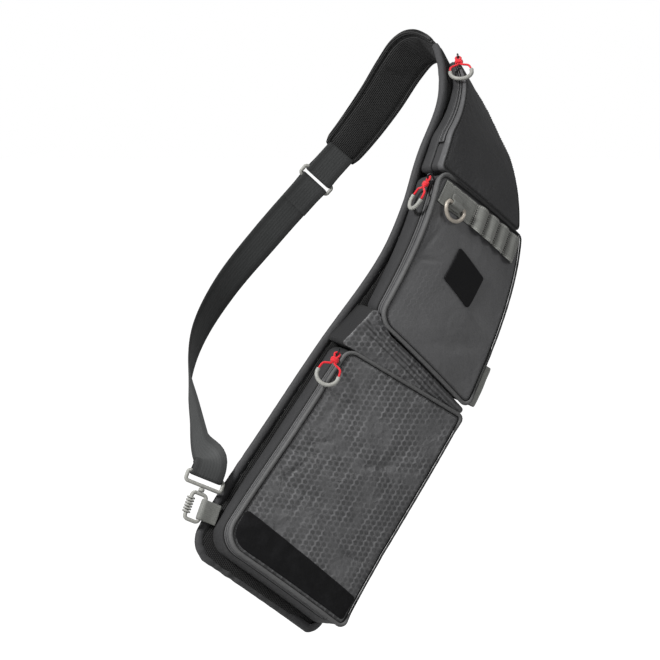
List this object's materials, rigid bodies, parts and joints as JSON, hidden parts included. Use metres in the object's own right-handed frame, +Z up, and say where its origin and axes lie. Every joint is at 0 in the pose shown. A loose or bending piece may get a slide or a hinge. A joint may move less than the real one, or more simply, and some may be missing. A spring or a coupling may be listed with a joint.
{
  "type": "sling bag",
  "caption": "Fishing tackle sling bag worn across the back, with stacked zipped pockets, a padded back, a shoulder strap loop with a snap hook, and a D-ring.",
  "frame": {"origin": "the inner face of the bag's narrow end, where it lies on the wearer's right shoulder", "axes": "+X to the wearer's right, +Y the way the wearer faces, +Z up"},
  "size_m": [0.4174, 0.3561, 0.6801],
  "materials": {
    "ripstop": "matte",
    "black_cloth": "matte",
    "grey_cloth": "matte",
    "mesh": "matte",
    "binding": "matte",
    "webbing": "matte",
    "strap_webbing": "matte",
    "zip": "satin",
    "red_cord": "matte",
    "hoop": "satin",
    "ring_metal": "satin",
    "label": "matte"
  },
  "bodies": {
    "bag": {"back_panel": "mesh", "back_binding": "binding", "lower_pocket": "ripstop", "middle_pocket": "grey_cloth", "shoulder_pocket": "black_cloth", "bridge_panel": "ripstop", "lower_zip": "zip", "middle_zip": "zip", "shoulder_zip": "zip", "lower_piping": "binding", "middle_piping": "binding", "lower_band": "black_cloth", "label_patch": "label", "webbing_band": "webbing", "d_ring_sleeve": "webbing", "side_loop": "webbing", "side_tie": "strap_webbing", "shoulder_pad": "mesh", "pad_tab": "strap_webbing", "joining_ring": "hoop", "loop_strap": "strap_webbing", "hook_ring": "hoop", "hook_neck": "hoop", "hook_body": "hoop", "hook_tab": "webbing", "lower_slider": "ring_metal", "lower_pull_cord": "red_cord", "lower_pull_knot": "red_cord", "lower_pull_hoop": "hoop", "middle_slider": "ring_metal", "middle_pull_cord": "red_cord", "middle_pull_knot": "red_cord", "middle_pull_hoop": "hoop", "shoulder_slider": "ring_metal", "shoulder_pull_cord": "red_cord", "shoulder_pull_knot": "red_cord", "shoulder_pull_hoop": "hoop"},
    "ring": {"d_ring": "ring_metal"}
  },
  "joints": [
    {"name": "d_ring_swing", "type": "hinge", "parent": "bag", "child": "ring", "pos_m": [-0.04531, -0.15532, -0.15352], "axis": [-0.8199, -0.2425, 0.5186], "range_deg": [0, 150]}
  ]
}
